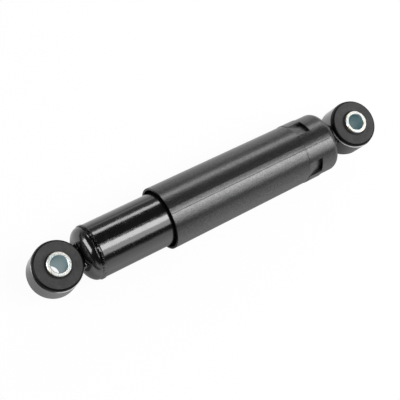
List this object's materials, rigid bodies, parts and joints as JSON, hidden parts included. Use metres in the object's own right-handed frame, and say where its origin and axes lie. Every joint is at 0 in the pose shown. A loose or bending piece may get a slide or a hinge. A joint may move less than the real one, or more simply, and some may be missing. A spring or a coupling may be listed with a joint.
{
  "type": "shock absorber",
  "caption": "Telescopic twin-tube damper for a light trailer axle: rubber-bushed eyes, black reservoir tube and a plastic dust cover over the rod.",
  "frame": {"origin": "centre of the lower eye's bolt bore", "axes": "+X along the damper to the upper eye, +Z along the lower eye's bore, so the part lies flat"},
  "size_m": [0.2946, 0.0472, 0.0472],
  "materials": {
    "black_paint": "gloss",
    "zinc_steel": "satin",
    "bush_rubber": "matte",
    "cover_plastic": "satin",
    "bare_steel": "satin",
    "sintered_iron": "matte",
    "bearing_bronze": "satin",
    "piston_band": "matte",
    "rod_chrome": "polished"
  },
  "bodies": {
    "reservoir": {"lower_eye_ring": "black_paint", "lower_bush_rubber": "bush_rubber", "lower_eye_weld": "black_paint", "base_cap": "black_paint", "base_cap_weld": "black_paint", "reservoir_tube": "black_paint", "working_cylinder": "bare_steel", "base_valve_body": "sintered_iron", "base_valve_pin": "bare_steel", "base_check_spring": "bare_steel", "rod_guide": "sintered_iron", "guide_bush": "bearing_bronze", "oil_seal": "bush_rubber", "seal_garter_spring": "bare_steel", "closing_washer": "bare_steel"},
    "lower_sleeve": {"lower_sleeve": "zinc_steel"},
    "base_check_plate": {"base_check_plate": "bare_steel"},
    "base_compression_disc": {"base_compression_disc": "bare_steel"},
    "piston_ring": {"piston_ring": "piston_band"},
    "rod": {"piston_rod": "rod_chrome", "piston_body": "sintered_iron", "piston_nut": "bare_steel", "rebound_spring": "bare_steel", "valve_stop_washer": "bare_steel", "rebound_stop_ring": "bare_steel", "piston_check_spring": "bare_steel", "cover_plate": "black_paint", "cover_plate_weld": "black_paint", "upper_eye_ring": "black_paint", "upper_bush_rubber": "bush_rubber", "upper_eye_weld": "black_paint"},
    "piston_check_plate": {"piston_check_plate": "bare_steel"},
    "rebound_valve_disc": {"rebound_valve_disc": "bare_steel"},
    "upper_sleeve": {"upper_sleeve": "zinc_steel"},
    "dust_cover": {"dust_cover": "cover_plastic"}
  },
  "joints": [
    {"name": "stroke", "type": "slide", "parent": "reservoir", "child": "piston_ring", "axis": [1, 0, 0], "range_m": [-0.057, 0.009]},
    {"name": "rod_turn", "type": "hinge", "parent": "piston_ring", "child": "rod", "pos_m": [0.1132, 0, 0], "axis": [1, 0, 0], "continuous": true},
    {"name": "cover_turn", "type": "hinge", "parent": "rod", "child": "dust_cover", "pos_m": [0.2143, 0, 0], "axis": [1, 0, 0], "continuous": true},
    {"name": "lower_sleeve_turn", "type": "hinge", "parent": "reservoir", "child": "lower_sleeve", "pos_m": [0, 0, 0], "axis": [0, 0, 1], "range_deg": [-15, 15], "stiffness_Nm_per_rad": 20},
    {"name": "upper_sleeve_turn", "type": "hinge", "parent": "rod", "child": "upper_sleeve", "pos_m": [0.2578, 0, 0], "axis": [0, -0.0541, 0.9985], "range_deg": [-15, 15], "stiffness_Nm_per_rad": 20},
    {"name": "base_check_lift", "type": "slide", "parent": "reservoir", "child": "base_check_plate", "axis": [1, 0, 0], "range_m": [0, 0.0009], "stiffness_N_per_m": 300, "deforming": ["base_check_spring"]},
    {"name": "base_compression_lift", "type": "slide", "parent": "reservoir", "child": "base_compression_disc", "axis": [1, 0, 0], "range_m": [-0.0005, 0], "stiffness_N_per_m": 300},
    {"name": "piston_check_lift", "type": "slide", "parent": "rod", "child": "piston_check_plate", "axis": [1, 0, 0], "range_m": [0, 0.0009], "stiffness_N_per_m": 300, "deforming": ["piston_check_spring"]},
    {"name": "rebound_valve_lift", "type": "slide", "parent": "rod", "child": "rebound_valve_disc", "axis": [1, 0, 0], "range_m": [-0.0009, 0], "stiffness_N_per_m": 300, "deforming": ["rebound_spring"]}
  ]
}
